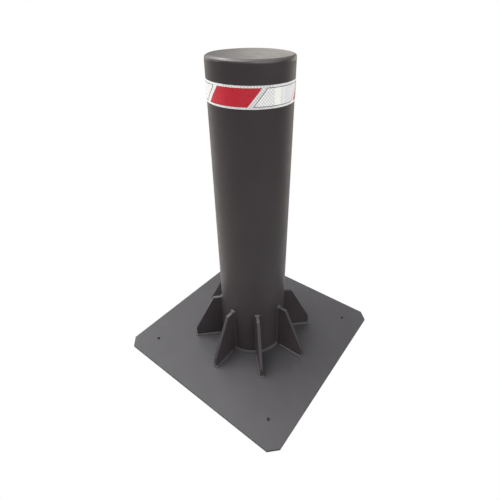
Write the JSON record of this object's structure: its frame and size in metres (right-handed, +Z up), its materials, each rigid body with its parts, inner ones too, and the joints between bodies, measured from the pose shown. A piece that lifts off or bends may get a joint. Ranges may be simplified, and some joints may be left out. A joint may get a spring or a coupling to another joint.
{
  "type": "fixed bollard",
  "caption": "Fixed surface-mounted steel bollard: capped tube welded to a square base plate with gussets, and a reflective band near the top.",
  "frame": {"origin": "centre of the base plate's underside, on the post's axis", "axes": "+Z up along the post; X and Y parallel to the base plate's sides"},
  "size_m": [0.65, 0.65, 0.96],
  "materials": {
    "painted_steel": "satin dark grey powder coat",
    "painted_weld": "satin dark grey powder coat over rippled weld",
    "tape_border": "white reflective film",
    "tape_red": "red reflective film",
    "tape_white": "silver-white prismatic reflective film"
  },
  "bodies": {
    "root": {"base_plate": "painted_steel", "post_tube": "painted_steel", "top_cap": "painted_steel", "cap_weld": "painted_weld", "foot_ring_weld": "painted_weld", "reflective_tape": "tape_border", "tape_red_panels": "tape_red", "tape_white_panels": "tape_white", "gusset_1": "painted_steel", "gusset_foot_weld_1": "painted_weld", "gusset_wall_weld_1": "painted_weld", "gusset_2": "painted_steel", "gusset_foot_weld_2": "painted_weld", "gusset_wall_weld_2": "painted_weld", "gusset_3": "painted_steel", "gusset_foot_weld_3": "painted_weld", "gusset_wall_weld_3": "painted_weld", "gusset_4": "painted_steel", "gusset_foot_weld_4": "painted_weld", "gusset_wall_weld_4": "painted_weld", "gusset_5": "painted_steel", "gusset_foot_weld_5": "painted_weld", "gusset_wall_weld_5": "painted_weld", "gusset_6": "painted_steel", "gusset_foot_weld_6": "painted_weld", "gusset_wall_weld_6": "painted_weld", "gusset_7": "painted_steel", "gusset_foot_weld_7": "painted_weld", "gusset_wall_weld_7": "painted_weld", "gusset_8": "painted_steel", "gusset_foot_weld_8": "painted_weld", "gusset_wall_weld_8": "painted_weld"}
  },
  "joints": []
}
